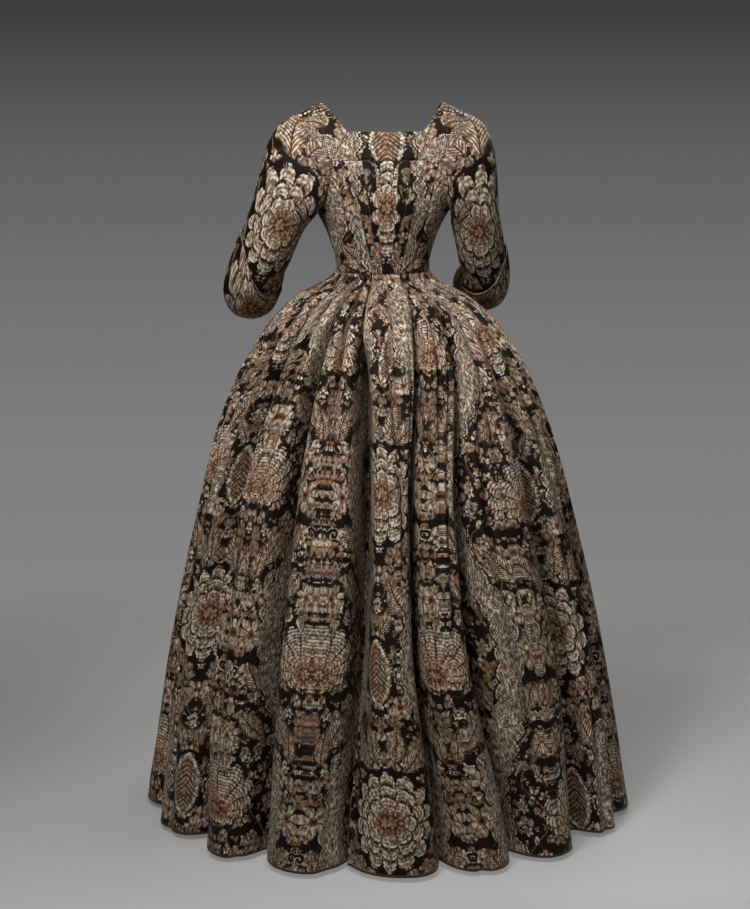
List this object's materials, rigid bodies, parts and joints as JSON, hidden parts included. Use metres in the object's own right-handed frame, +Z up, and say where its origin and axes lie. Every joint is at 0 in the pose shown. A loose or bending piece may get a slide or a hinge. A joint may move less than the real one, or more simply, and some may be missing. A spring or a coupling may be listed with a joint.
{
  "type": "historic gown",
  "caption": "Brocaded silk gown with a fitted bodice, square neckline, elbow sleeves with turned-back cuffs and a wide pleated skirt, held in its worn form.",
  "frame": {"origin": "midway between the two shoulder straps, at shoulder height, 1.392 m above the floor, where the wearer's shoulders hold the gown", "axes": "+Z up, +Y out of the gown's back, -Y out of its front, +X to the wearer's left"},
  "size_m": [0.9738, 0.968, 1.3844],
  "materials": {
    "brocade": "satin-ground silk brocade, ivory, tan and orange flowers on brown-black",
    "trim": "the same brocade in folded robings and a neck band"
  },
  "bodies": {
    "root": {"bodice_back": "brocade", "bodice_side_left": "brocade", "bodice_side_right": "brocade", "bodice_front_left": "brocade", "bodice_front_right": "brocade", "sleeve_left": "brocade", "sleeve_right": "brocade", "cuff_left": "brocade", "cuff_right": "brocade", "skirt_back": "brocade", "skirt_left_back": "brocade", "skirt_right_back": "brocade", "skirt_left_front": "brocade", "skirt_right_front": "brocade", "skirt_front": "brocade", "back_neck_band": "trim", "robing_left": "trim", "robing_right": "trim"}
  },
  "joints": []
}
